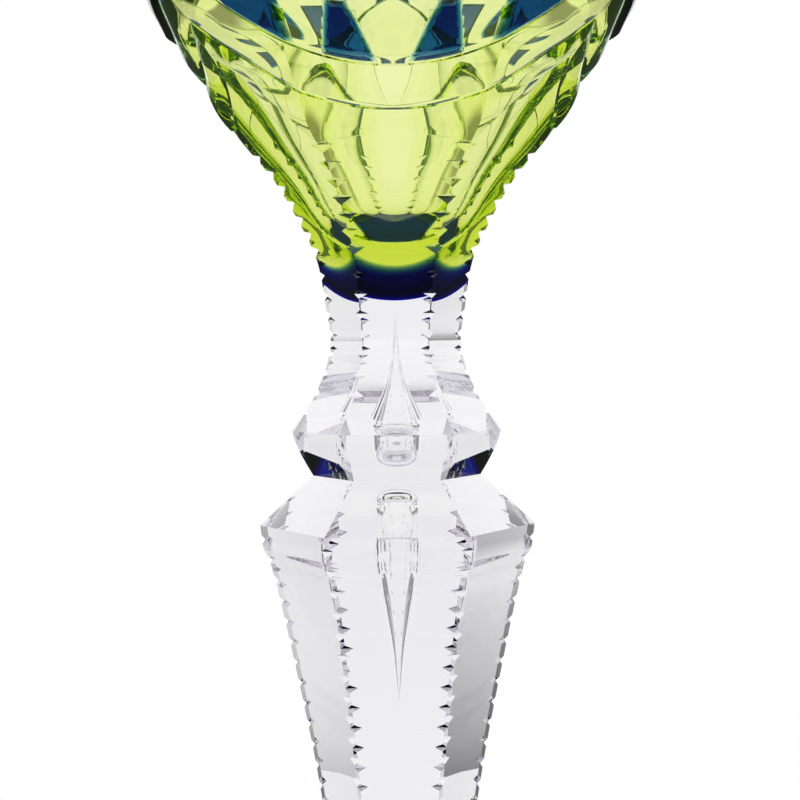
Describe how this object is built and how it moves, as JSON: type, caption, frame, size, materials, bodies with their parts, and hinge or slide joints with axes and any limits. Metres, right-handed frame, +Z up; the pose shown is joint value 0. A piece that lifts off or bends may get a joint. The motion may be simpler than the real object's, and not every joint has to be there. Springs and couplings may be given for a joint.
{
  "type": "stemmed glass",
  "caption": "Tall drinking glass: yellow-green bowl cut in tiers with blue casing patches, blue cup, clear six-sided notched stem with air tears, round foot",
  "frame": {"origin": "centre of the foot's underside, on the surface that the glass stands on", "axes": "+Z up the stem's axis, a flat facet and the middle of a fan face -Y, +X to the right of that front"},
  "size_m": [0.0792, 0.0791, 0.2],
  "materials": {
    "crystal": "cut and polished",
    "cup_blue": "cut and polished",
    "yellow_green": "cut and polished",
    "casing_blue": "cut and polished"
  },
  "bodies": {
    "root": {"foot": "crystal", "shaft": "crystal", "knop": "crystal", "neck": "crystal", "blue_cup": "cup_blue", "bowl_lining": "yellow_green", "casing_band": "casing_blue", "casing_patch_01": "casing_blue", "casing_patch_02": "casing_blue", "casing_patch_03": "casing_blue", "casing_patch_04": "casing_blue", "casing_patch_05": "casing_blue", "casing_patch_06": "casing_blue", "casing_patch_07": "casing_blue", "casing_patch_08": "casing_blue", "casing_patch_09": "casing_blue", "casing_patch_10": "casing_blue", "casing_patch_11": "casing_blue", "casing_patch_12": "casing_blue", "casing_patch_13": "casing_blue", "casing_patch_14": "casing_blue", "casing_patch_15": "casing_blue"}
  },
  "joints": []
}
